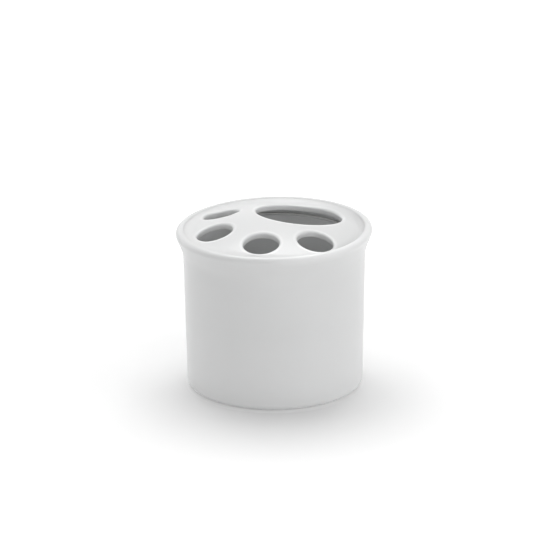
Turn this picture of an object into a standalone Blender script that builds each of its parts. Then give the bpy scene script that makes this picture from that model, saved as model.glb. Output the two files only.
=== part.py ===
"""Round holder cup with a flared lip and a lift-out domed top that has five openings.

Run it with Blender 4.5.  World units are metres, +Z is up, and the four foot pads stand on Z = 0.
The driving sizes below are in millimetres and degrees.  Everything else follows from them.
"""

from math import atan, cos, degrees, pi, radians, sin, tan

import bmesh
import bpy
from mathutils import Matrix, Vector

MM = 0.001

# Cup
RIM_DIAMETER = 105.0
CUP_HEIGHT = 87.7
LIP_THICKNESS = 4.2
LIP_OUTER_RADIUS = 2.6
SEAM_EDGE_RADIUS = 0.4
FLARE_OVERHANG = 3.8
FLARE_ANGLE = 22.0
COVE_RADIUS = 20.0
WALL_DRAFT = 1.25
WALL = 4.0
BASE_THICKNESS = 5.0
BOTTOM_EDGE_RADIUS = 3.4
INNER_FLOOR_RADIUS = 7.0
UNDERSIDE_RECESS_DIAMETER = 48.0
UNDERSIDE_RECESS_DEPTH = 1.0

# Domed top
DOME_RISE = 8.7
DOME_RUN_OUT_DROP = 3.5
TOP_THICKNESS = 3.2
SKIRT_DROP = 0.4
SKIRT_WALL = 2.3
HOLE_DIAMETER = 19.2
HOLE_EDGE_MARGIN = 4.3
HOLE_ANGLES = (-50.5, -102.5, -160.5, -214.0)
HOLE_INSETS = (0.0, 2.6, 0.7, 0.0)
WIDE_HOLE_DIAMETER = 45.4
WIDE_HOLE_MARGIN = 5.8
WIDE_HOLE_ANGLE = 47.5
HOLE_EDGE_RADIUS = 0.9
GUTTER_MARGIN = 0.2

# Soft seat ring and foot pads
SEAT_RING_THICKNESS = 1.0
PAD_COUNT = 4
PAD_DIAMETER = 11.0
PAD_THICKNESS = 2.0
PAD_STAND_OFF = 0.5
PAD_EDGE_INSET = 11.5
PAD_EDGE_RADIUS = 0.5

# Clearances
SEAT_GAP = 0.3
RADIAL_GAP = 0.35
RING_GAP = 0.35
PAD_GAP = 0.3

# Smoothness of round stretches
TURN_STEPS = 72
HOLE_STEPS = 40
WIDE_HOLE_STEPS = 64
PAD_STEPS = 24

# Levels and radii that follow from the sizes above
UNDERSIDE_Z = PAD_STAND_OFF
FLOOR_Z = UNDERSIDE_Z + BASE_THICKNESS
CREST_Z = UNDERSIDE_Z + CUP_HEIGHT
RIM_RADIUS = RIM_DIAMETER / 2
BORE_RADIUS = RIM_RADIUS - LIP_THICKNESS
BODY_RADIUS = RIM_RADIUS - FLARE_OVERHANG
INNER_RADIUS = BODY_RADIUS - WALL
TOP_RADIUS = BORE_RADIUS - RADIAL_GAP
RUN_OUT_Z = CREST_Z - DOME_RUN_OUT_DROP
DOME_APEX_Z = RUN_OUT_Z + DOME_RISE
DOME_CURVATURE = 2 * DOME_RISE / TOP_RADIUS ** 2
SKIRT_BOTTOM_Z = RUN_OUT_Z - TOP_THICKNESS - SKIRT_DROP
RING_TOP_Z = SKIRT_BOTTOM_Z - SEAT_GAP
RING_BOTTOM_Z = RING_TOP_Z - SEAT_RING_THICKNESS
LEDGE_Z = RING_BOTTOM_Z - SEAT_GAP
HOLE_RING_RADIUS = TOP_RADIUS - HOLE_EDGE_MARGIN - HOLE_DIAMETER / 2
GUTTER_RADIUS = TOP_RADIUS - HOLE_EDGE_MARGIN + HOLE_EDGE_RADIUS + GUTTER_MARGIN
LIP_CREST_RADIUS = RIM_RADIUS - LIP_OUTER_RADIUS
WIDE_HOLE_OFFSET = TOP_RADIUS - WIDE_HOLE_MARGIN - WIDE_HOLE_DIAMETER / 2


def dome_height(radius):
    """Height of the domed top's outer skin at a distance from the axis."""
    return DOME_APEX_Z - DOME_CURVATURE * radius ** 2 / 2


def rim_rise(radius):
    """Height of the smooth run from the foot of the dome up to the crest of the lip.

    The seam between the top and the lip cuts through this run, so the two pieces make one surface.
    """
    run = LIP_CREST_RADIUS - GUTTER_RADIUS
    t = (radius - GUTTER_RADIUS) / run
    start = dome_height(GUTTER_RADIUS)
    fall = -DOME_CURVATURE * GUTTER_RADIUS * run
    return start + (CREST_Z - start) * (3 * t ** 2 - 2 * t ** 3) + fall * t * (1 - t) ** 2


def rim_lean(radius):
    """Slope of that run, as an angle in degrees."""
    step = 0.01
    return degrees(atan((rim_rise(radius + step) - rim_rise(radius - step)) / (2 * step)))


def arc(centre, radius, start, end, count):
    """Points on an arc in a half-section, from one angle to the other, in degrees."""
    turn = (end - start) / count
    angles = [radians(start + turn * step) for step in range(count + 1)]
    return [(centre[0] + radius * cos(a), centre[1] + radius * sin(a)) for a in angles]


def material(name, colour, roughness):
    """A plain finish: base colour and roughness, not metal."""
    finish = bpy.data.materials.new(name)
    finish.use_nodes = True
    shader = finish.node_tree.nodes["Principled BSDF"]
    shader.inputs["Base Color"].default_value = (*colour, 1.0)
    shader.inputs["Roughness"].default_value = roughness
    shader.inputs["Metallic"].default_value = 0.0
    finish.diffuse_color = (*colour, 1.0)
    return finish


def new_collection(name):
    group = bpy.data.collections.new(name)
    bpy.context.scene.collection.children.link(group)
    return group


def add_object(name, mesh, group):
    item = bpy.data.objects.new(name, mesh)
    group.objects.link(item)
    return item


def turned(name, section, group, closed=False, steps=TURN_STEPS):
    """A solid of revolution about Z from a half-section of (radius, height) points."""
    outline = bmesh.new()
    corners = [outline.verts.new(Vector((r, 0.0, z)) * MM) for r, z in section]
    for first, second in zip(corners, corners[1:]):
        outline.edges.new((first, second))
    if closed:
        outline.edges.new((corners[-1], corners[0]))
    mesh = bpy.data.meshes.new(name)
    outline.to_mesh(mesh)
    outline.free()
    item = add_object(name, mesh, group)
    screw = item.modifiers.new("Turn", "SCREW")
    screw.axis = "Z"
    screw.angle = 2 * pi
    screw.steps = steps
    screw.render_steps = steps
    screw.use_merge_vertices = True
    screw.merge_threshold = 0.00001
    return item


def finish_piece(item, finish):
    """Gives a piece its own material."""
    item.data.materials.append(finish)
    return item


def cut(item, cutter, label):
    """Takes a cutter out of a piece, and keeps the cutter as a hidden wire shape."""
    cutter.display_type = "WIRE"
    cutter.hide_render = True
    hole = item.modifiers.new(label, "BOOLEAN")
    hole.operation = "DIFFERENCE"
    hole.solver = "EXACT"
    hole.object = cutter


def flare_section():
    """Outer side of the cup from the crest of its lip down to the foot of the flare."""
    lip_centre = (RIM_RADIUS - LIP_OUTER_RADIUS, CREST_Z - LIP_OUTER_RADIUS)
    points = arc(lip_centre, LIP_OUTER_RADIUS, 90.0, -FLARE_ANGLE, 7)
    slope = radians(FLARE_ANGLE)
    draft = radians(WALL_DRAFT)
    cove_run = COVE_RADIUS * (cos(draft) - cos(slope))
    cone_run = max(points[-1][0] - BODY_RADIUS - cove_run, 0.05)
    cone_end = (points[-1][0] - cone_run, points[-1][1] - cone_run / tan(slope))
    cove_centre = (cone_end[0] + COVE_RADIUS * cos(slope), cone_end[1] - COVE_RADIUS * sin(slope))
    return points + arc(cove_centre, COVE_RADIUS, 180.0 - FLARE_ANGLE, 180.0 - WALL_DRAFT, 4)


def seam_round(centre_radius):
    """Centre, touching radius and lean of the small round at one side of the seam."""
    touch = centre_radius
    for _ in range(4):
        lean = rim_lean(touch)
        touch = centre_radius - SEAM_EDGE_RADIUS * sin(radians(lean))
    centre = (centre_radius, rim_rise(touch) - SEAM_EDGE_RADIUS * cos(radians(lean)))
    return centre, touch, lean


def rim_points(start, end, count):
    """Points along the run between dome and lip, without the first one."""
    radii = [start + (end - start) * step / count for step in range(1, count + 1)]
    return [(radius, rim_rise(radius)) for radius in radii]


def lip_slope():
    """Inner side of the lip, from the seam up to the crest, without the crest itself."""
    centre, touch, lean = seam_round(BORE_RADIUS + SEAM_EDGE_RADIUS)
    edge = arc(centre, SEAM_EDGE_RADIUS, 180.0, 90.0 + lean, 2)
    return edge + rim_points(touch, LIP_CREST_RADIUS, 4)[:-1]


def cup_section():
    """Half-section of the cup, from its inner floor over the lip and down to its underside."""
    draft = tan(radians(WALL_DRAFT))
    inner_bottom = INNER_RADIUS - draft * (LEDGE_Z - FLOOR_Z)
    floor_centre = (inner_bottom - INNER_FLOOR_RADIUS, FLOOR_Z + INNER_FLOOR_RADIUS)
    inside = [(0.0, FLOOR_Z)] + arc(floor_centre, INNER_FLOOR_RADIUS, -90.0, 0.0, 5)
    ledge = [(INNER_RADIUS, LEDGE_Z - 0.4), (INNER_RADIUS + 0.4, LEDGE_Z), (BORE_RADIUS, LEDGE_Z)]
    inner_lip = lip_slope()
    outside = flare_section()
    bottom_radius = outside[-1][0] - draft * (outside[-1][1] - UNDERSIDE_Z)
    edge_centre = (bottom_radius - BOTTOM_EDGE_RADIUS, UNDERSIDE_Z + BOTTOM_EDGE_RADIUS)
    edge = arc(edge_centre, BOTTOM_EDGE_RADIUS, 0.0, -90.0, 5)
    recess = UNDERSIDE_RECESS_DIAMETER / 2
    recess_z = UNDERSIDE_Z + UNDERSIDE_RECESS_DEPTH
    underside = [(recess, UNDERSIDE_Z), (recess - UNDERSIDE_RECESS_DEPTH, recess_z), (0.0, recess_z)]
    return inside + ledge + inner_lip + outside + edge + underside


def foot_places():
    """Centres of the foot pads, in a ring under the cup's wall."""
    ring = BODY_RADIUS - PAD_EDGE_INSET
    turns = [2 * pi * (index + 0.5) / PAD_COUNT for index in range(PAD_COUNT)]
    return [(ring * cos(turn), ring * sin(turn)) for turn in turns]


def round_bar(name, group, radius, bottom, top, place):
    """An upright round bar between two heights."""
    bar = bmesh.new()
    bmesh.ops.create_cone(bar, cap_ends=True, segments=PAD_STEPS, radius1=radius * MM,
                          radius2=radius * MM, depth=(top - bottom) * MM)
    mesh = bpy.data.meshes.new(name)
    bar.to_mesh(mesh)
    bar.free()
    item = add_object(name, mesh, group)
    item.location = Vector((place[0], place[1], (bottom + top) / 2)) * MM
    return item


def make_cup(parts, cutters):
    cup = turned("cup", cup_section(), parts)
    pocket_top = UNDERSIDE_Z + PAD_THICKNESS - PAD_STAND_OFF + PAD_GAP
    for number, place in enumerate(foot_places(), 1):
        pocket = round_bar(f"pad_pocket_{number}", cutters, PAD_DIAMETER / 2 + PAD_GAP,
                           UNDERSIDE_Z - 3.0, pocket_top, place)
        cut(cup, pocket, f"Pad pocket {number}")
    return finish_piece(cup, material("white_satin_glaze", (0.82, 0.83, 0.84), 0.36))


def top_section():
    """Half-section of the domed top: outer skin, upturned edge, skirt and underside."""
    rings = 8
    radii = [GUTTER_RADIUS * step / rings for step in range(rings + 1)]
    skin = [(radius, dome_height(radius)) for radius in radii]
    centre, touch, lean = seam_round(TOP_RADIUS - SEAM_EDGE_RADIUS)
    upturn = rim_points(GUTTER_RADIUS, touch, 5)
    edge = arc(centre, SEAM_EDGE_RADIUS, 90.0 + lean, 0.0, 3)[1:]
    chamfer = 0.4
    inner = TOP_RADIUS - SKIRT_WALL
    foot = [(TOP_RADIUS, SKIRT_BOTTOM_Z + chamfer), (TOP_RADIUS - chamfer, SKIRT_BOTTOM_Z),
            (inner + chamfer, SKIRT_BOTTOM_Z), (inner, SKIRT_BOTTOM_Z + chamfer)]
    steps = 6
    under = [(inner * (steps - step) / steps, dome_height(inner * (steps - step) / steps) - TOP_THICKNESS)
             for step in range(steps + 1)]
    return skin + upturn + edge + foot + under


def hole_cutter(name, group, diameter, distance, angle, steps):
    """An upright bore with a softly flared mouth that follows the dome.

    An upright round bore meets a paraboloid in a flat, tilted curve, so one turned shape,
    sheared by the slope at the bore's centre, rounds the mouth evenly all the way round.
    """
    radius = diameter / 2
    mouth = radius + HOLE_EDGE_RADIUS
    lean = atan(DOME_CURVATURE * mouth)
    touch = mouth + HOLE_EDGE_RADIUS * sin(lean)
    centre_z = -DOME_CURVATURE * touch ** 2 / 2 - HOLE_EDGE_RADIUS * cos(lean)
    flare = arc((mouth, centre_z), HOLE_EDGE_RADIUS, 180.0, 90.0 + 14.0, 4)
    depth = 4 * TOP_THICKNESS + DOME_RISE
    section = [(0.0, depth), (flare[-1][0], depth)] + flare[::-1] + [(radius, -depth), (0.0, -depth)]
    bore = bmesh.new()
    corners = [bore.verts.new(Vector((r, 0.0, z)) * MM) for r, z in section]
    edges = [bore.edges.new(pair) for pair in zip(corners, corners[1:])]
    bmesh.ops.spin(bore, geom=corners + edges, cent=(0, 0, 0), axis=(0, 0, 1), angle=2 * pi,
                   steps=steps, use_merge=True)
    bmesh.ops.remove_doubles(bore, verts=bore.verts, dist=0.00001)
    bmesh.ops.recalc_face_normals(bore, faces=bore.faces)
    slope = -DOME_CURVATURE * distance
    tilt = Matrix.Identity(4)
    tilt[2][0] = slope * cos(radians(angle))
    tilt[2][1] = slope * sin(radians(angle))
    bmesh.ops.transform(bore, matrix=tilt, verts=bore.verts)
    mesh = bpy.data.meshes.new(name)
    bore.to_mesh(mesh)
    bore.free()
    cutter = add_object(name, mesh, group)
    cutter.location = Vector((distance * cos(radians(angle)), distance * sin(radians(angle)),
                              dome_height(distance))) * MM
    return cutter


def make_top(parts, cutters):
    top = turned("domed_top", top_section(), parts)
    wide = hole_cutter("wide_hole", cutters, WIDE_HOLE_DIAMETER, WIDE_HOLE_OFFSET, WIDE_HOLE_ANGLE,
                       WIDE_HOLE_STEPS)
    cut(top, wide, "Wide hole")
    for number, (angle, inset) in enumerate(zip(HOLE_ANGLES, HOLE_INSETS), 1):
        bore = hole_cutter(f"pen_hole_{number}", cutters, HOLE_DIAMETER, HOLE_RING_RADIUS - inset,
                           angle, HOLE_STEPS)
        cut(top, bore, f"Pen hole {number}")
    return finish_piece(top, material("white_satin_glaze_top", (0.84, 0.85, 0.86), 0.34))


def make_seat_ring(parts):
    """Soft ring between the top's skirt and the ledge inside the cup."""
    inner = INNER_RADIUS + RING_GAP
    outer = BORE_RADIUS - RING_GAP
    round_edge = SEAT_RING_THICKNESS * 0.3
    section = []
    for (r, z), start in (((outer, RING_TOP_Z), 90.0), ((outer, RING_BOTTOM_Z), 0.0),
                          ((inner, RING_BOTTOM_Z), -90.0), ((inner, RING_TOP_Z), -180.0)):
        side = -round_edge if r == outer else round_edge
        rise = -round_edge if z == RING_TOP_Z else round_edge
        section += arc((r + side, z + rise), round_edge, start, start - 90.0, 1)
    ring = turned("seat_ring", section, parts, closed=True)
    return finish_piece(ring, material("white_silicone", (0.78, 0.78, 0.77), 0.55))


def make_foot_pads(parts):
    for number, place in enumerate(foot_places(), 1):
        pad = round_bar(f"foot_pad_{number}", parts, PAD_DIAMETER / 2, 0.0, PAD_THICKNESS, place)
        soft = pad.modifiers.new("Soft edge", "BEVEL")
        soft.width = PAD_EDGE_RADIUS * MM
        soft.segments = 2
        soft.limit_method = "ANGLE"
        soft.angle_limit = radians(40.0)
        finish_piece(pad, material(f"grey_rubber_{number}", (0.30, 0.30, 0.31), 0.7))


def build():
    for item in list(bpy.data.objects):
        bpy.data.objects.remove(item, do_unlink=True)
    parts = new_collection("holder_cup")
    cutters = new_collection("cutters")
    make_cup(parts, cutters)
    make_top(parts, cutters)
    make_seat_ring(parts)
    make_foot_pads(parts)
    print(f"rim {RIM_DIAMETER:.1f} mm, height {DOME_APEX_Z:.1f} mm, hole ring {HOLE_RING_RADIUS:.2f} mm")


build()
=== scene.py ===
# %% [markdown]
# # A white holder cup with a lift-out domed top
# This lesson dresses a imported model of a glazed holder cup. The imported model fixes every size, place and joint.
# The script makes smooth pieces that stand for its solids, gives them glaze and rubber, and sets a small studio.

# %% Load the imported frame
from math import atan, atan2, cos, degrees, hypot, pi, radians, sin, tan

import bmesh
import bpy
from mathutils import Matrix, Quaternion, Vector


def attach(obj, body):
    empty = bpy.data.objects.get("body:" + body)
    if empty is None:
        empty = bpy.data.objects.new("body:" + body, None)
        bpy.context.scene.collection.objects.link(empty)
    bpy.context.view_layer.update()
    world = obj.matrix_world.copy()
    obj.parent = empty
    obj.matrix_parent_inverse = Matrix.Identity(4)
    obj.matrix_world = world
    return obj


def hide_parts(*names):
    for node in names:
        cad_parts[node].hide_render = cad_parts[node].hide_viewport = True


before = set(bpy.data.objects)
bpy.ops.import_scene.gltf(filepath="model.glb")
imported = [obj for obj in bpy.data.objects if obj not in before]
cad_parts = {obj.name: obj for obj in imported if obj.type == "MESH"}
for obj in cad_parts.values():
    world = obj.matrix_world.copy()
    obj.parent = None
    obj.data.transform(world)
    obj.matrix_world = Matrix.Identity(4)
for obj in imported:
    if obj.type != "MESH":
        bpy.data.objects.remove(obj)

bpy.context.scene.view_settings.view_transform = "Standard"
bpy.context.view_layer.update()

# %% [markdown]
# ## The camera first
# The rim and the base are both circles, so their outlines give the view: the rim's ellipse is flatter than the
# base's, so the camera stands a little over two metres away and looks down on the cup through a long lens.
# A camera could be placed by eye, but a point to look at and a distance are easier to correct.

# %% Camera
CAMERA_PLACE = Vector((0.0, -2.2197, 0.8486))
CAMERA_AIM = Vector((0.0030, 0.0, 0.0578))
CAMERA_LENS = 282.9
CAMERA_ROLL = -0.4
SENSOR_WIDTH = 36.0
FAR_CLIP = 50.0

lens = bpy.data.cameras.new("camera")
lens.lens = CAMERA_LENS
lens.sensor_width = SENSOR_WIDTH
lens.clip_end = FAR_CLIP
camera = bpy.data.objects.new("camera", lens)
bpy.context.scene.collection.objects.link(camera)
camera.location = CAMERA_PLACE
level = (CAMERA_AIM - CAMERA_PLACE).to_track_quat("-Z", "Y")
camera.rotation_euler = (level @ Quaternion((0.0, 0.0, 1.0), radians(CAMERA_ROLL))).to_euler()
bpy.context.scene.camera = camera
print(f"camera {(CAMERA_AIM - CAMERA_PLACE).length:.2f} m from the cup")

# %% [markdown]
# ## Sections and spinning
# Almost everything on this holder was turned on a wheel or pressed in a round mould. So each piece starts as half
# of its section, a chain of points at one side of the axis, and bmesh's spin operator carries it round. A screw
# modifier would do the same, but the operator gives a mesh that the next step can go on with.

# %% Helpers for turned pieces
MM = 0.001
AXIS = (0.0, 0.0, 1.0)
WELD_DISTANCE = 0.000002
CREASE_ANGLE = 38.0


def arc(centre, radius, start, end, count):
    """Points on an arc of a section, from one angle to the other, in degrees."""
    angles = [radians(start + (end - start) * step / count) for step in range(count + 1)]
    return [(centre[0] + radius * cos(a), centre[1] + radius * sin(a)) for a in angles]


def spin_section(shape, section, steps, place=(0.0, 0.0), closed=False):
    """Spins half a section, in millimetres, about an upright axis and returns the new vertices."""
    known = set(shape.verts)
    corners = [shape.verts.new(Vector((place[0] + r, place[1], z)) * MM) for r, z in section]
    edges = [shape.edges.new(pair) for pair in zip(corners, corners[1:])]
    if closed:
        edges.append(shape.edges.new((corners[-1], corners[0])))
    bmesh.ops.spin(shape, geom=corners + edges, cent=Vector((*place, 0.0)) * MM, axis=AXIS,
                   angle=2 * pi, steps=steps, use_merge=True)
    return [vert for vert in shape.verts if vert not in known]


def finish_piece(name, shape, body, nodes):
    """Closes a mesh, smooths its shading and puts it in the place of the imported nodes."""
    bmesh.ops.remove_doubles(shape, verts=shape.verts, dist=WELD_DISTANCE)
    bmesh.ops.recalc_face_normals(shape, faces=shape.faces)
    open_edges = sum(not edge.is_manifold for edge in shape.edges)
    mesh = bpy.data.meshes.new(name)
    shape.to_mesh(mesh)
    shape.free()
    mesh.shade_smooth()
    mesh.set_sharp_from_angle(angle=radians(CREASE_ANGLE))
    piece = bpy.data.objects.new(name, mesh)
    bpy.context.scene.collection.objects.link(piece)
    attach(piece, body)
    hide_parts(*nodes)
    print(f"{name}: {len(mesh.polygons)} faces, {open_edges} open edges")
    return piece


# %% [markdown]
# ## Filling a sheet round its holes
# The deck of the top and the underside of the cup are sheets with round holes. A boolean would cut them, but it
# leaves ragged faces that shade badly on a curved, glossy deck. Here the outlines are drawn as circles in plan and
# filled. Long edges are then halved and the points evened out, and last the whole sheet is lifted to its height.

# %% Helpers for sheets with holes
HALVINGS = 7
EVENINGS = 12


def fill_plan(rings, spacing, height):
    """A sheet between circles (x, y, radius, steps): the first is its outline, the others are holes."""
    sheet = bmesh.new()
    for x, y, radius, steps in rings:
        bmesh.ops.create_circle(sheet, segments=steps, radius=radius * MM,
                                matrix=Matrix.Translation(Vector((x, y, 0.0)) * MM))
    bmesh.ops.triangle_fill(sheet, use_beauty=True, use_dissolve=False, edges=sheet.edges[:], normal=AXIS)
    for _ in range(HALVINGS):
        long_edges = [edge for edge in sheet.edges if not edge.is_boundary and edge.calc_length() > spacing * MM]
        if not long_edges:
            break
        bmesh.ops.subdivide_edges(sheet, edges=long_edges, cuts=1)
        bmesh.ops.triangulate(sheet, faces=sheet.faces[:])
        inner = [edge for edge in sheet.edges if not edge.is_boundary]
        bmesh.ops.beautify_fill(sheet, faces=sheet.faces[:], edges=inner)
    free = [vert for vert in sheet.verts if not vert.is_boundary]
    for _ in range(EVENINGS):
        bmesh.ops.smooth_vert(sheet, verts=free, factor=0.5, use_axis_x=True, use_axis_y=True, use_axis_z=False)
    for vert in sheet.verts:
        vert.co.z = height(hypot(vert.co.x, vert.co.y) / MM) * MM
    return sheet


def add_shape(shape, other):
    """Puts one bmesh into another."""
    carrier = bpy.data.meshes.new("carrier")
    other.to_mesh(carrier)
    other.free()
    shape.from_mesh(carrier)
    bpy.data.meshes.remove(carrier)


# %% [markdown]
# ## One run from dome to lip
# The deck of the top is a shallow dome. At its foot it turns up in one smooth run to the crest of the cup's lip, and
# a hairline seam cuts through that run. Two separate edges would catch the light as two rings, which the photograph
# doesn't have. So both pieces take their edge from the same curve, and each has a tiny round at the seam.

# %% Sizes that the two pieces share, in millimetres
CREST_Z = 88.2
RIM_RADIUS = 52.5
LIP_OUTER_RADIUS = 2.6
LIP_CREST_RADIUS = RIM_RADIUS - LIP_OUTER_RADIUS
BORE_RADIUS = 48.3
SEAM_GAP = 0.03
SEAM_ROUND = 0.03
TOP_RADIUS = BORE_RADIUS - SEAM_GAP
GUTTER_RADIUS = 45.0
DOME_APEX_Z = 94.0
DOME_CURVATURE = 0.0082


def dome_height(radius):
    """Height of the deck at a distance from the axis."""
    return DOME_APEX_Z - DOME_CURVATURE * radius ** 2 / 2


def rim_rise(radius, foot=GUTTER_RADIUS):
    """Height of the run from its foot on the dome to the crest of the lip."""
    run = LIP_CREST_RADIUS - foot
    t = max(radius - foot, 0.0) / run
    start = dome_height(min(radius, foot))
    fall = -DOME_CURVATURE * foot * run
    return start + (CREST_Z - start) * (3 * t ** 2 - 2 * t ** 3) + fall * t * (1 - t) ** 2


# %% [markdown]
# The rim in the photograph isn't quite level: hand-finished ware warps a little in the kiln, and here the right side
# stands about two millimetres higher than the left, while the front right stays level. The gutter is deep at the
# right and all but filled at the left, where the run starts further in. So points near the rim are lifted, by x for
# the tilt and by their side for the fill. Both pieces use the same lift. It dies out on the deck, down the wall and
# above the seat, and nothing moves sideways.

# %% The lift of the rim
RIM_TILT = 0.019
LEVEL_FRONT = (-44.0, 6.0)
FILL_ANGLE = 147.0
FILL_SIDE = (-0.88, -0.35)
FILLED_FOOT = 41.0
DECK_FADE = (41.0, 48.0)
WALL_FADE = (66.0, 82.0)
SEAT_FADE = (81.2, 84.0)
OUTSIDE = BORE_RADIUS + 0.2


def ease(value, low, high):
    """A soft step from 0 to 1 between two values."""
    t = min(max((value - low) / (high - low), 0.0), 1.0)
    return t * t * (3 - 2 * t)


def lift_rim(shape):
    """Tilts the rim and fills the gutter on one side."""
    for vert in shape.verts:
        x, y, z = vert.co / MM
        radius = hypot(x, y)
        high = ease(z, *(WALL_FADE if radius > OUTSIDE else SEAT_FADE))
        side = ease(cos(atan2(y, x) - radians(FILL_ANGLE)), *FILL_SIDE)
        inside = min(radius, LIP_CREST_RADIUS)
        fill = rim_rise(inside, FILLED_FOOT) - rim_rise(inside)
        tilt = RIM_TILT * x * (ease(y, *LEVEL_FRONT) if x > 0 else 1.0)
        vert.co.z += high * (tilt * ease(radius, *DECK_FADE) + side * fill) * MM


# %% Points of the run and of the rounds at the seam
def rim_points(start, end, count):
    """Points along the run, without the first one."""
    radii = [start + (end - start) * step / count for step in range(1, count + 1)]
    return [(radius, rim_rise(radius)) for radius in radii]


def seam_edge(centre_radius):
    """Centre of the round at one side of the seam, where it touches the run, and the run's lean there."""
    touch = centre_radius
    for _ in range(4):
        lean = atan((rim_rise(touch + 0.01) - rim_rise(touch - 0.01)) / 0.02)
        touch = centre_radius - SEAM_ROUND * sin(lean)
    return (centre_radius, rim_rise(touch) - SEAM_ROUND * cos(lean)), touch, degrees(lean)


# %% [markdown]
# ## The cup
# The real cup is one piece of white ware: a floor, a wall that widens slightly upwards, and a lip that flares out
# and rolls over. Inside the lip a ledge carries the top. Its section is one chain of points, from the middle of the
# inner floor, over the lip, to the flat ring that the cup stands on. Soft arcs at every turn give the glaze its run.

# %% Sizes of the cup, in millimetres
FLARE_ANGLE = 22.0
COVE_RADIUS = 20.0
BODY_RADIUS = 48.7
INNER_RADIUS = 44.7
WALL_DRAFT = 1.25
UNDERSIDE_Z = 0.5
UNDERSIDE_SPACING = 6.0
FLOOR_Z = 5.5
LEDGE_Z = 79.5
LEDGE_ROUND = 0.5
BOTTOM_EDGE_RADIUS = 3.4
INNER_FLOOR_RADIUS = 7.0
RECESS_RADIUS = 24.0
RECESS_DEPTH = 1.0
CUP_STEPS = 288


def lip_and_flare():
    """The outer side from the crest of the lip to the foot of the flare."""
    roll = arc((LIP_CREST_RADIUS, CREST_Z - LIP_OUTER_RADIUS), LIP_OUTER_RADIUS, 90, -FLARE_ANGLE, 22)
    slope = radians(FLARE_ANGLE)
    cove_run = COVE_RADIUS * (cos(radians(WALL_DRAFT)) - cos(slope))
    cone_run = roll[-1][0] - BODY_RADIUS - cove_run
    cone_end = (roll[-1][0] - cone_run, roll[-1][1] - cone_run / tan(slope))
    cove = (cone_end[0] + COVE_RADIUS * cos(slope), cone_end[1] - COVE_RADIUS * sin(slope))
    return roll + arc(cove, COVE_RADIUS, 180 - FLARE_ANGLE, 180 - WALL_DRAFT, 12)


def inner_lip():
    """From the round at the seam up the run, without the crest itself."""
    centre, touch, lean = seam_edge(BORE_RADIUS + SEAM_ROUND)
    return arc(centre, SEAM_ROUND, 180, 90 + lean, 5) + rim_points(touch, LIP_CREST_RADIUS, 10)[:-1]


# %% Section of the cup
def cup_section():
    """From the middle of the inner floor over the lip to the ring the cup stands on."""
    draft = tan(radians(WALL_DRAFT))
    inner_foot = INNER_RADIUS - draft * (LEDGE_Z - FLOOR_Z)
    floor_corner = arc((inner_foot - INNER_FLOOR_RADIUS, FLOOR_Z + INNER_FLOOR_RADIUS), INNER_FLOOR_RADIUS,
                       -90, 0, 12)
    ledge = arc((INNER_RADIUS + LEDGE_ROUND, LEDGE_Z - LEDGE_ROUND), LEDGE_ROUND, 180, 90, 5)
    corner = arc((BORE_RADIUS - LEDGE_ROUND, LEDGE_Z + LEDGE_ROUND), LEDGE_ROUND, -90, 0, 5)
    outside = lip_and_flare()
    head, head_z = outside[-1]
    foot = head - draft * (head_z - UNDERSIDE_Z)
    wall = [(head + (foot - head) * t, head_z + (UNDERSIDE_Z - head_z) * t) for t in (0.25, 0.5, 0.75)]
    edge = arc((foot - BOTTOM_EDGE_RADIUS, UNDERSIDE_Z + BOTTOM_EDGE_RADIUS), BOTTOM_EDGE_RADIUS, 0, -90, 12)
    return [(0.0, FLOOR_Z)] + floor_corner + ledge + corner + inner_lip() + outside + wall + edge


# %% [markdown]
# ## The underside and its pockets
# Under the cup there is a shallow round recess and a pocket for each foot pad. The flat between them is a sheet with
# five holes, so the helper above fills it. Each pocket is a circle, extruded up and closed with a flat roof.

# %% Underside sizes and pocket places
PAD_INSET = 11.5
PAD_RING_RADIUS = BODY_RADIUS - PAD_INSET
PAD_PLACES = [(PAD_RING_RADIUS * cos(radians(a)), PAD_RING_RADIUS * sin(radians(a))) for a in (45, 135, 225, 315)]
PAD_RADIUS = 5.5
POCKET_RADIUS = 5.8
POCKET_ROOF_Z = 2.3
POCKET_STEPS = 48


def add_pocket(shape, place):
    """A round pocket: its roof, and a wall drawn down from the roof's edge."""
    roof = bmesh.ops.create_circle(shape, cap_ends=True, segments=POCKET_STEPS, radius=POCKET_RADIUS * MM,
                                   matrix=Matrix.Translation(Vector((*place, POCKET_ROOF_Z)) * MM))
    rim = {edge for vert in roof["verts"] for edge in vert.link_edges}
    wall = bmesh.ops.extrude_edge_only(shape, edges=list(rim))
    low = [item for item in wall["geom"] if isinstance(item, bmesh.types.BMVert)]
    bmesh.ops.translate(shape, verts=low, vec=(0.0, 0.0, (UNDERSIDE_Z - POCKET_ROOF_Z) * MM))


# %% Make the cup
cup_shape = bmesh.new()
section = cup_section()
spin_section(cup_shape, section, CUP_STEPS)
recess = [(RECESS_RADIUS, UNDERSIDE_Z)] + arc((RECESS_RADIUS - RECESS_DEPTH, UNDERSIDE_Z), RECESS_DEPTH, 15, 90, 5)
spin_section(cup_shape, recess + [(0.0, UNDERSIDE_Z + RECESS_DEPTH)], CUP_STEPS // 2)
for place in PAD_PLACES:
    add_pocket(cup_shape, place)
rings = [(0.0, 0.0, section[-1][0], CUP_STEPS), (0.0, 0.0, RECESS_RADIUS, CUP_STEPS // 2)]
rings += [(*place, POCKET_RADIUS, POCKET_STEPS) for place in PAD_PLACES]
add_shape(cup_shape, fill_plan(rings, UNDERSIDE_SPACING, lambda radius: UNDERSIDE_Z))
lift_rim(cup_shape)
cup = finish_piece("glazed_cup", cup_shape, "cup", ["cup"])

# %% [markdown]
# ## The domed top
# The top is the piece that makes this holder: a shallow dome with four equal round openings and a wide one, running
# out into a gutter and an upturned edge that lies level with the lip. Every opening is an upright bore. On a dome of
# this shape an upright bore has a flat, tilted mouth, so one spun section, sheared by the slope at the bore's centre,
# rounds each mouth evenly. The deck between the mouths is a filled sheet, lifted to the dome.

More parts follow.
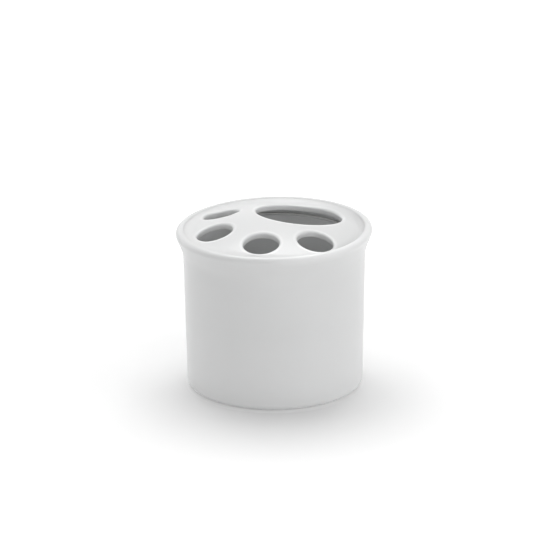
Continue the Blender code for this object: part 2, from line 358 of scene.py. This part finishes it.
# %% Sizes of the top, in millimetres
TOP_THICKNESS = 3.5
SKIRT_WALL = 3.4
SKIRT_COVE = 1.1
SKIRT_BOTTOM_Z = 80.95
HOLE_RADIUS = 9.6
HOLE_PLACES = ((34.05, -50.5), (31.45, -102.5), (33.35, -160.5), (34.05, -214.0))
WIDE_RADIUS = 23.1
WIDE_PLACE = (19.2, 46.0)
MOUTH_RADIUS = 1.1
LOWER_EDGE_RADIUS = 0.6
SKIRT_ROUND = 0.4
TOP_STEPS = 288
HOLE_STEPS = 112
WIDE_STEPS = 208
DECK_SPACING = 1.6
CEILING_SPACING = 2.5


def around(distance, angle):
    """A place in plan, at a distance and an angle round the axis."""
    return distance * cos(radians(angle)), distance * sin(radians(angle))


OPENINGS = [(*around(*place), HOLE_RADIUS, HOLE_STEPS) for place in HOLE_PLACES]
OPENINGS.append((*around(*WIDE_PLACE), WIDE_RADIUS, WIDE_STEPS))


# %% Edge and skirt of the top
def skirt_section():
    """From the foot of the dome over the edge, down the skirt and up to the underside."""
    centre, touch, lean = seam_edge(TOP_RADIUS - SEAM_ROUND)
    edge = arc(centre, SEAM_ROUND, 90 + lean, 0, 7)[1:]
    inner = TOP_RADIUS - SKIRT_WALL
    outer_foot = arc((TOP_RADIUS - SKIRT_ROUND, SKIRT_BOTTOM_Z + SKIRT_ROUND), SKIRT_ROUND, 0, -90, 5)
    inner_foot = arc((inner + SKIRT_ROUND, SKIRT_BOTTOM_Z + SKIRT_ROUND), SKIRT_ROUND, -90, -180, 5)
    start = [(GUTTER_RADIUS, dome_height(GUTTER_RADIUS))] + rim_points(GUTTER_RADIUS, touch, 18)
    ceiling = dome_height(inner - SKIRT_COVE) - TOP_THICKNESS
    cove = arc((inner - SKIRT_COVE, ceiling - SKIRT_COVE), SKIRT_COVE, 0, 90, 6)
    return start + edge + outer_foot + inner_foot + cove


# %% Bores with rounded mouths
def mouth_reach(radius):
    """How far out the rounded mouth of a bore touches the deck, and the deck's lean there."""
    reach = radius + MOUTH_RADIUS
    for _ in range(6):
        lean = atan(DOME_CURVATURE * reach)
        reach = radius + MOUTH_RADIUS * (1 + sin(lean))
    return reach, lean


def bore_section(radius):
    """Section of a bore about its own axis: mouth, wall and softened lower edge."""
    reach, lean = mouth_reach(radius)
    touch_z = -DOME_CURVATURE * reach ** 2 / 2
    mouth = arc((radius + MOUTH_RADIUS, touch_z - MOUTH_RADIUS * cos(lean)), MOUTH_RADIUS,
                90 - degrees(lean), 180, 10)
    soft = LOWER_EDGE_RADIUS
    low_z = -DOME_CURVATURE * (radius + soft) ** 2 / 2 - TOP_THICKNESS
    return mouth + arc((radius + soft, low_z + soft), soft, 180, 270, 8)


def add_bore(shape, x, y, radius, steps):
    """Spins one bore and shears it to the slope of the dome at its centre."""
    distance = hypot(x, y)
    section = [(r, z + dome_height(distance)) for r, z in bore_section(radius)]
    verts = spin_section(shape, section, steps, (x, y))
    tilt = Matrix.Identity(4)
    tilt[2][0] = -DOME_CURVATURE * x
    tilt[2][1] = -DOME_CURVATURE * y
    bmesh.ops.transform(shape, matrix=tilt, verts=verts, space=Matrix.Translation(Vector((-x, -y, 0.0)) * MM))


# %% Make the top
top_shape = bmesh.new()
spin_section(top_shape, skirt_section(), TOP_STEPS)
for opening in OPENINGS:
    add_bore(top_shape, *opening)
deck = [(0.0, 0.0, GUTTER_RADIUS, TOP_STEPS)]
deck += [(x, y, mouth_reach(radius)[0], steps) for x, y, radius, steps in OPENINGS]
add_shape(top_shape, fill_plan(deck, DECK_SPACING, dome_height))
ceiling = [(0.0, 0.0, TOP_RADIUS - SKIRT_WALL - SKIRT_COVE, TOP_STEPS)]
ceiling += [(x, y, radius + LOWER_EDGE_RADIUS, steps) for x, y, radius, steps in OPENINGS]
add_shape(top_shape, fill_plan(ceiling, CEILING_SPACING, lambda radius: dome_height(radius) - TOP_THICKNESS))
lift_rim(top_shape)
top = finish_piece("glazed_top", top_shape, "top", ["domed_top"])

# %% [markdown]
# ## Seat ring and foot pads
# A soft white ring keeps the glazed skirt off the glazed ledge. Its section is a flat strip with rounded corners, and
# its top falls a little towards the inside, so that drips run off. The foot pads are pressed rubber discs. Each is a
# spun section with a rounded foot and a dished underside, so that its outer ring grips.

# %% Make the seat ring
RING_INNER = 44.85
RING_OUTER = 47.95
RING_LOW_Z = 79.6
RING_HIGH_Z = 80.8
RING_SOFT = 0.25
RING_FALL = 0.2


def ring_section():
    """Round the strip once, by its corners: two at the outer side, then two at the inner side."""
    corners = ((RING_OUTER, RING_HIGH_Z, 90), (RING_OUTER, RING_LOW_Z, 0), (RING_INNER, RING_LOW_Z, -90),
               (RING_INNER, RING_HIGH_Z - RING_FALL, -180))
    points = []
    for radius, height, start in corners:
        side = -RING_SOFT if radius == RING_OUTER else RING_SOFT
        rise = RING_SOFT if height == RING_LOW_Z else -RING_SOFT
        points += arc((radius + side, height + rise), RING_SOFT, start, start - 90, 4)
    return points


ring_shape = bmesh.new()
spin_section(ring_shape, ring_section(), CUP_STEPS, closed=True)
seat_ring = finish_piece("soft_seat_ring", ring_shape, "seat", ["seat_ring"])

# %% Make the foot pads
PAD_HEIGHT = 2.0
PAD_SOFT = 0.5
PAD_DISH = 0.15
DISH_STEPS = ((1.4, 0.0), (1.9, 0.7), (2.6, 1.0))
PAD_STEPS = 64
pads = []
for number, place in enumerate(PAD_PLACES, 1):
    foot = arc((PAD_RADIUS - PAD_SOFT, PAD_SOFT), PAD_SOFT, 0, -90, 6)
    head = arc((PAD_RADIUS - PAD_SOFT, PAD_HEIGHT - PAD_SOFT), PAD_SOFT, 90, 0, 6)
    dish = [(PAD_RADIUS - inset, PAD_DISH * share) for inset, share in DISH_STEPS]
    pad_shape = bmesh.new()
    spin_section(pad_shape, [(0.0, PAD_HEIGHT)] + head + foot + dish + [(0.0, PAD_DISH)], PAD_STEPS, place)
    pads.append(finish_piece(f"rubber_pad_{number}", pad_shape, "cup", [f"foot_pad_{number}"]))

# %% [markdown]
# ## White satin glaze
# Satin glaze is never quite even. It pools and thins in broad, faint clouds, its skin ripples like orange peel a
# couple of millimetres wide, and a few pin specks stay dull. All three change over the surface, so they are worked
# out once in a node group that puts out a colour, a roughness and a height. The shader stays in each material.

# %% Node helpers
def new_group(name, inputs, outputs):
    """An empty shader group with named sockets."""
    group = bpy.data.node_groups.new(name, "ShaderNodeTree")
    for direction, sockets in (("INPUT", inputs), ("OUTPUT", outputs)):
        for label, kind in sockets:
            group.interface.new_socket(name=label, in_out=direction, socket_type=kind)
    start = group.nodes.new("NodeGroupInput")
    end = group.nodes.new("NodeGroupOutput")
    return group, start, end


def add_noise(tree, vector, scale, detail, roughness=0.5):
    """A noise texture on given coordinates; returns its value."""
    noise = tree.nodes.new("ShaderNodeTexNoise")
    noise.inputs["Scale"].default_value = scale
    noise.inputs["Detail"].default_value = detail
    noise.inputs["Roughness"].default_value = roughness
    tree.links.new(vector, noise.inputs["Vector"])
    return noise.outputs["Fac"]


def add_range(tree, value, low, high, out_low, out_high):
    """Maps a value from one range to another and keeps it inside."""
    node = tree.nodes.new("ShaderNodeMapRange")
    for label, number in (("From Min", low), ("From Max", high), ("To Min", out_low), ("To Max", out_high)):
        node.inputs[label].default_value = number
    tree.links.new(value, node.inputs["Value"])
    return node.outputs["Result"]


def add_math(tree, operation, first, second):
    """One sum on two values; either may be a plain number."""
    node = tree.nodes.new("ShaderNodeMath")
    node.operation = operation
    for socket, value in zip(node.inputs, (first, second)):
        if isinstance(value, (int, float)):
            socket.default_value = value
        else:
            tree.links.new(value, socket)
    return node.outputs["Value"]


def add_mix(tree, factor, first, second):
    """Mixes two colours; either may be a plain colour."""
    node = tree.nodes.new("ShaderNodeMix")
    node.data_type = "RGBA"
    tree.links.new(factor, node.inputs["Factor"])
    for socket, value in ((node.inputs[6], first), (node.inputs[7], second)):
        if isinstance(value, tuple):
            socket.default_value = value
        else:
            tree.links.new(value, socket)
    return node.outputs[2]


def add_vector(tree, operation, first, second=None):
    """One sum on a vector, with a plain second vector where the sum takes two."""
    node = tree.nodes.new("ShaderNodeVectorMath")
    node.operation = operation
    tree.links.new(first, node.inputs[0])
    if second is not None:
        node.inputs[1].default_value = second
    return node.outputs["Value" if operation in ("LENGTH", "DOT_PRODUCT") else "Vector"]


def add_split(tree, vector):
    """The three numbers of a vector, by name."""
    node = tree.nodes.new("ShaderNodeSeparateXYZ")
    tree.links.new(vector, node.inputs["Vector"])
    return node.outputs


def add_place(tree):
    """Where a point lies on its object."""
    return tree.nodes.new("ShaderNodeTexCoord").outputs["Object"]


# %% Glaze group
FLOAT, COLOUR, VECTOR = "NodeSocketFloat", "NodeSocketColor", "NodeSocketVector"
CLOUD_SCALE = 34.0
PEEL_SCALE = 420.0
GRAIN_SCALE = 1600.0
GRAIN_SHARE = 0.12
SPECK_SCALE = 900.0
SATIN_ROUGHNESS = 0.30
CLOUD_ROUGHNESS = 0.06
SPECK_ROUGHNESS = 0.22
glaze_group, start, end = new_group(
    "glaze_skin",
    [("Place", VECTOR), ("Thin", COLOUR), ("Thick", COLOUR), ("Speck", COLOUR)],
    [("Colour", COLOUR), ("Roughness", FLOAT), ("Height", FLOAT)])
place = start.outputs["Place"]
clouds = add_range(glaze_group, add_noise(glaze_group, place, CLOUD_SCALE, 3.0), 0.3, 0.7, 0.0, 1.0)
peel = add_noise(glaze_group, place, PEEL_SCALE, 2.0, 0.45)
grain = add_noise(glaze_group, place, GRAIN_SCALE, 1.0)
specks = add_range(glaze_group, add_noise(glaze_group, place, SPECK_SCALE, 0.0), 0.78, 0.84, 0.0, 1.0)
body_colour = add_mix(glaze_group, clouds, start.outputs["Thin"], start.outputs["Thick"])
glaze_group.links.new(add_mix(glaze_group, specks, body_colour, start.outputs["Speck"]), end.inputs["Colour"])
dull = add_math(glaze_group, "MULTIPLY_ADD", clouds, CLOUD_ROUGHNESS)
dull.node.inputs[2].default_value = SATIN_ROUGHNESS
rough = add_math(glaze_group, "MULTIPLY_ADD", specks, SPECK_ROUGHNESS)
glaze_group.links.new(dull, rough.node.inputs[2])
glaze_group.links.new(rough, end.inputs["Roughness"])
fine = add_math(glaze_group, "MULTIPLY_ADD", grain, GRAIN_SHARE)
glaze_group.links.new(peel, fine.node.inputs[2])
glaze_group.links.new(fine, end.inputs["Height"])
print("glaze group:", len(glaze_group.nodes), "nodes")


# %% [markdown]
# On the top, a highlight is painted over the mouths of the openings as a whiter colour, brightest along their front
# edges. This is a mask of its own, because five bores share it: how near a point is to a bore, and how far to the
# front of the bore's axis.

# %% Mouth highlight group
FLAT = (1.0, 1.0, 0.0)
MOUTH_BAND = (1.5, 2.5)
FRONT_BAND = (-0.5, -0.9)
BACK_EDGE = 0.2
mouth_highlight_group, start, end = new_group("mouth_highlights", [("Place", VECTOR)], [("Edge", FLOAT)])
flat = add_vector(mouth_highlight_group, "MULTIPLY", start.outputs["Place"], FLAT)
edge = 0.0
for x, y, radius, _ in OPENINGS:
    away = add_vector(mouth_highlight_group, "SUBTRACT", flat, Vector((x, y, 0.0)) * MM)
    band = [(radius + width) * MM for width in MOUTH_BAND]
    near = add_range(mouth_highlight_group, add_vector(mouth_highlight_group, "LENGTH", away), *band, 1.0, 0.0)
    band = [radius * share * MM for share in FRONT_BAND]
    front = add_range(mouth_highlight_group, add_split(mouth_highlight_group, away)["Y"], *band, BACK_EDGE, 1.0)
    edge = add_math(mouth_highlight_group, "MAXIMUM", add_math(mouth_highlight_group, "MULTIPLY", near, front), edge)
mouth_highlight_group.links.new(edge, end.inputs["Edge"])
print("mouth group:", len(mouth_highlight_group.nodes), "nodes")


# %% Material helpers
def shader_of(finish):
    """The shader of a finish."""
    return finish.node_tree.nodes["Principled BSDF"]


def new_finish(name, group, colours, bump, depth):
    """A material whose colour, roughness and bump come from a group on object coordinates."""
    finish = bpy.data.materials.new(name)
    finish.use_nodes = True
    tree = finish.node_tree
    shader = shader_of(finish)
    skin = tree.nodes.new("ShaderNodeGroup")
    skin.node_tree = group
    tree.links.new(add_place(tree), skin.inputs["Place"])
    for label, colour in colours.items():
        skin.inputs[label].default_value = (*colour, 1.0)
    relief = tree.nodes.new("ShaderNodeBump")
    relief.inputs["Strength"].default_value = bump
    relief.inputs["Distance"].default_value = depth
    tree.links.new(skin.outputs["Height"], relief.inputs["Height"])
    tree.links.new(skin.outputs["Colour"], shader.inputs["Base Color"])
    tree.links.new(skin.outputs["Roughness"], shader.inputs["Roughness"])
    tree.links.new(relief.outputs["Normal"], shader.inputs["Normal"])
    return finish


def blend_colour(finish, mask, colour):
    """Mixes one more colour into a finish where a mask says so."""
    tree = finish.node_tree
    base = shader_of(finish).inputs["Base Color"]
    tree.links.new(add_mix(tree, mask, base.links[0].from_socket, colour), base)


def dress(finish, *pieces):
    """Gives whole pieces one finish."""
    for piece in pieces:
        piece.data.materials.clear()
        piece.data.materials.append(finish)


def finish_inside(piece, finish, is_inside):
    """Gives the faces inside the vessel a finish of their own."""
    piece.data.materials.append(finish)
    for face in piece.data.polygons:
        if is_inside(face):
            face.material_index = 1


# %% [markdown]
# On the deck, painted shade greys the glaze towards the right, where the gutter is deep, and darkens it most in the
# gutter itself at the front right. On the cup, painted light whitens the glaze towards the foot and over the lip at
# the front right. Each effect is a mask from the place of a point, in metres, and a colour that the mask mixes in.

# %% Where shade and light are painted into the glaze
FRONT_RIGHT = (0.64, -0.77, 0.0)
DECK_SHADE_REACH = (0.002, 0.045)
GUTTER_IN = (0.0420, 0.0452)
GUTTER_OUT = (0.0462, 0.0482)
GUTTER_SIDE = (0.030, 0.042)
FOOT_REACH = (0.042, 0.0)
FOOT_SHARE = 0.7
LIP_REACH = (0.0832, 0.0870)
LIP_SIDE = (0.038, 0.0485)


def front_right(tree, place, reach):
    """A mask that grows towards the front right."""
    return add_range(tree, add_vector(tree, "DOT_PRODUCT", place, FRONT_RIGHT), *reach, 0.0, 1.0)


def paint_deck_shade(finish, grey, dark):
    """Paints shade into a glaze: greyer towards +X, and darker still in the gutter at the front right."""
    tree = finish.node_tree
    place = add_place(tree)
    blend_colour(finish, add_range(tree, add_split(tree, place)["X"], *DECK_SHADE_REACH, 0.0, 1.0), grey)
    radius = add_vector(tree, "LENGTH", add_vector(tree, "MULTIPLY", place, FLAT))
    gutter = add_math(tree, "MULTIPLY", add_range(tree, radius, *GUTTER_IN, 0.0, 1.0),
                      add_range(tree, radius, *GUTTER_OUT, 1.0, 0.0))
    blend_colour(finish, add_math(tree, "MULTIPLY", gutter, front_right(tree, place, GUTTER_SIDE)), dark)


def paint_mouth_highlights(finish, white):
    """Paints a highlight over the mouths of the openings, brightest at their front edges, and lets less light sink in
    there.
    """
    tree = finish.node_tree
    mouths = tree.nodes.new("ShaderNodeGroup")
    mouths.node_tree = mouth_highlight_group
    tree.links.new(add_place(tree), mouths.inputs["Place"])
    blend_colour(finish, mouths.outputs["Edge"], white)
    depth = shader_of(finish).inputs["Subsurface Weight"]
    tree.links.new(add_range(tree, mouths.outputs["Edge"], 0.0, 1.0, depth.default_value, 0.0), depth)


def paint_cup_light(finish, white):
    """Paints light into a glaze: whiter towards the foot and over the lip at the front right."""
    tree = finish.node_tree
    place = add_place(tree)
    height = add_split(tree, place)["Z"]
    foot = add_range(tree, height, *FOOT_REACH, 0.0, FOOT_SHARE)
    lip = add_math(tree, "MULTIPLY", add_range(tree, height, *LIP_REACH, 0.0, 1.0),
                   front_right(tree, place, LIP_SIDE))
    blend_colour(finish, add_math(tree, "MAXIMUM", foot, lip), white)


# %% [markdown]
# Three finishes share the group: the cup's glaze, the top's, and a greyer one for the inside of the cup and the
# underside of the deck, where its darker colour is painted shade. Light sinks a few millimetres into white ware, so
# part of the base is subsurface. A thin, dull coat stands for the satin skin.

# %% Glaze materials
GLAZE_BUMP = 0.06
INSIDE_BUMP = 0.1
GLAZE_DEPTH = 0.0004
INSIDE_RADIUS = 0.0452
INSIDE_FLOOR_Z, INSIDE_LEDGE_Z = 0.0045, 0.0797
CEILING_RADIUS = 0.0455
CEILING_LEAN = -0.7
cup_glaze = new_finish("satin_glaze_cup", glaze_group,
                       {"Thin": (0.80, 0.805, 0.805), "Thick": (0.785, 0.79, 0.79), "Speck": (0.775, 0.78, 0.78)},
                       GLAZE_BUMP, GLAZE_DEPTH)
top_glaze = new_finish("satin_glaze_top", glaze_group,
                       {"Thin": (0.79, 0.795, 0.795), "Thick": (0.775, 0.78, 0.78), "Speck": (0.765, 0.77, 0.77)},
                       GLAZE_BUMP, GLAZE_DEPTH)
# greyer colour: painted shade for the inside of the cup and the underside of the deck
shaded_inside_glaze = new_finish("inside_shade_glaze", glaze_group,
                         {"Thin": (0.75, 0.755, 0.755), "Thick": (0.73, 0.735, 0.735), "Speck": (0.71, 0.715, 0.715)},
                         INSIDE_BUMP, GLAZE_DEPTH)
for finish, depth in ((cup_glaze, 0.4), (top_glaze, 0.8), (shaded_inside_glaze, 0.4)):
    shader = shader_of(finish)
    shader.inputs["IOR"].default_value = 1.5
    shader.inputs["Subsurface Weight"].default_value = depth
    shader.inputs["Subsurface Radius"].default_value = (1.0, 1.0, 1.0)
    shader.inputs["Subsurface Scale"].default_value = 0.003
    shader.inputs["Coat Weight"].default_value = 0.2
    shader.inputs["Coat Roughness"].default_value = 0.2
# painted shade on the deck: greyer to the right and darkest in the front-right gutter
paint_deck_shade(top_glaze, (0.725, 0.73, 0.73, 1.0), (0.65, 0.655, 0.655, 1.0))
# painted highlight on the mouths of the openings, whitest along their front edges
paint_mouth_highlights(top_glaze, (0.99, 0.995, 0.995, 1.0))
# painted light on the cup: whiter towards the foot and over the lip at the front right
paint_cup_light(cup_glaze, (0.88, 0.885, 0.885, 1.0))
dress(cup_glaze, cup)
dress(top_glaze, top)
# the inside faces take the greyer finish with painted shade
finish_inside(cup, shaded_inside_glaze, lambda face: (face.center.xy.length < INSIDE_RADIUS
                                            and INSIDE_FLOOR_Z < face.center.z < INSIDE_LEDGE_Z))
finish_inside(top, shaded_inside_glaze, lambda face: (face.center.xy.length < CEILING_RADIUS
                                            and face.normal.z < CEILING_LEAN))
print("glazes:", ", ".join(finish.name for finish in (cup_glaze, top_glaze, shaded_inside_glaze)))

# %% [markdown]
# ## Rubber and silicone
# Moulded rubber is dull and faintly grained, with a bloom of paler dust. Silicone is smoother and lets light in a
# little. Both use one group: a fine grain for the height and a soft cloud for colour and roughness.

# %% Rubber group and materials
BLOOM_SCALE = 240.0
GRIT_SCALE = 2600.0
RUBBER_ROUGHNESS = (0.55, 0.78)
rubber_group, start, end = new_group(
    "rubber_skin", [("Place", VECTOR), ("Clean", COLOUR), ("Bloom", COLOUR)],
    [("Colour", COLOUR), ("Roughness", FLOAT), ("Height", FLOAT)])
place = start.outputs["Place"]
bloom = add_range(rubber_group, add_noise(rubber_group, place, BLOOM_SCALE, 4.0, 0.6), 0.4, 0.75, 0.0, 1.0)
grit = add_noise(rubber_group, place, GRIT_SCALE, 2.0)
rubber_group.links.new(add_mix(rubber_group, bloom, start.outputs["Clean"], start.outputs["Bloom"]),
                       end.inputs["Colour"])
rubber_group.links.new(add_range(rubber_group, bloom, 0.0, 1.0, *RUBBER_ROUGHNESS), end.inputs["Roughness"])
rubber_group.links.new(grit, end.inputs["Height"])

pad_rubber = new_finish("grey_rubber", rubber_group, {"Clean": (0.28, 0.28, 0.29), "Bloom": (0.36, 0.36, 0.36)},
                        0.35, 0.0003)
ring_silicone = new_finish("white_silicone", rubber_group, {"Clean": (0.76, 0.76, 0.75), "Bloom": (0.80, 0.80, 0.79)},
                           0.2, 0.0002)
dress(pad_rubber, *pads)
dress(ring_silicone, seat_ring)
print("soft materials:", ", ".join(finish.name for finish in (pad_rubber, ring_silicone)))

# %% [markdown]
# ## The studio
# The photograph is a white sweep with soft light from above. The floor has to be white to the camera and still keep
# the soft shadow at the cup's foot. So it adds light of its own that only the camera and reflections see: hardly any
# at the foot, more further out, and a little right under the cup's edge, where the photograph's contact line is
# paler than a real shadow. The world is white to the same rays and dimmer as a light.

# %% Floor
FLOOR_SIZE = 4.0
FLOOR_WHITE = (0.93, 0.93, 0.93, 1.0)
WHITE = (1.0, 1.0, 1.0, 1.0)
GLOW_REACH = (0.05, 0.28)
GLOW = (0.03, 0.50)
EDGE_GLOW_REACH = (0.044, 0.049)
EDGE_GLOW = 0.25


def seen_rays(tree):
    """1 for the rays that show a surface: straight, in a reflection or through a clear piece."""
    rays = tree.nodes.new("ShaderNodeLightPath")
    seen = add_math(tree, "MAXIMUM", rays.outputs["Is Camera Ray"], rays.outputs["Is Glossy Ray"])
    return add_math(tree, "MAXIMUM", seen, rays.outputs["Is Transmission Ray"])


floor_shape = bmesh.new()
bmesh.ops.create_grid(floor_shape, x_segments=8, y_segments=8, size=FLOOR_SIZE)
floor_mesh = bpy.data.meshes.new("floor")
floor_shape.to_mesh(floor_mesh)
floor_shape.free()
floor = bpy.data.objects.new("floor", floor_mesh)
bpy.context.scene.collection.objects.link(floor)

floor_paint = bpy.data.materials.new("floor_paint")
floor_paint.use_nodes = True
tree = floor_paint.node_tree
shader = shader_of(floor_paint)
shader.inputs["Base Color"].default_value = FLOOR_WHITE
shader.inputs["Roughness"].default_value = 0.9
shader.inputs["Specular IOR Level"].default_value = 0.0
shader.inputs["Emission Color"].default_value = WHITE
reach = add_vector(tree, "LENGTH", add_place(tree))
glow = add_math(tree, "MAXIMUM", add_range(tree, reach, *GLOW_REACH, *GLOW),
                add_range(tree, reach, *EDGE_GLOW_REACH, EDGE_GLOW, 0.0))
tree.links.new(add_math(tree, "MULTIPLY", seen_rays(tree), glow), shader.inputs["Emission Strength"])
floor_mesh.materials.append(floor_paint)
print("floor:", 2 * FLOOR_SIZE, "m wide")

# %% World
WORLD_LIGHT = 0.40
world = bpy.data.worlds.new("studio")
bpy.context.scene.world = world
world.use_nodes = True
tree = world.node_tree
sky = tree.nodes["Background"]
sky.inputs["Color"].default_value = WHITE
tree.links.new(add_range(tree, seen_rays(tree), 0.0, 1.0, WORLD_LIGHT, 1.0), sky.inputs["Strength"])


# %% Lamps
LAMP_AIM = Vector((0.0, 0.0, 0.05))


def add_lamp(name, place, size, power):
    """A square softbox that looks at the cup."""
    light = bpy.data.lights.new(name, "AREA")
    light.size = size
    light.energy = power
    lamp = bpy.data.objects.new(name, light)
    bpy.context.scene.collection.objects.link(lamp)
    lamp.location = place
    lamp.rotation_euler = (LAMP_AIM - Vector(place)).to_track_quat("-Z", "Y").to_euler()


LAMPS = (("softbox_above", (-0.02, 0.39, 1.15), 0.9, 8.2),
         ("softbox_front", (0.25, -1.3, 0.65), 0.8, 2.2),
         ("softbox_left", (-1.0, 0.5, 0.30), 0.6, 0.8),
         ("softbox_right", (1.05, -0.50, 0.34), 0.6, 1.9))
for lamp in LAMPS:
    add_lamp(*lamp)
print("lamps:", len(LAMPS))
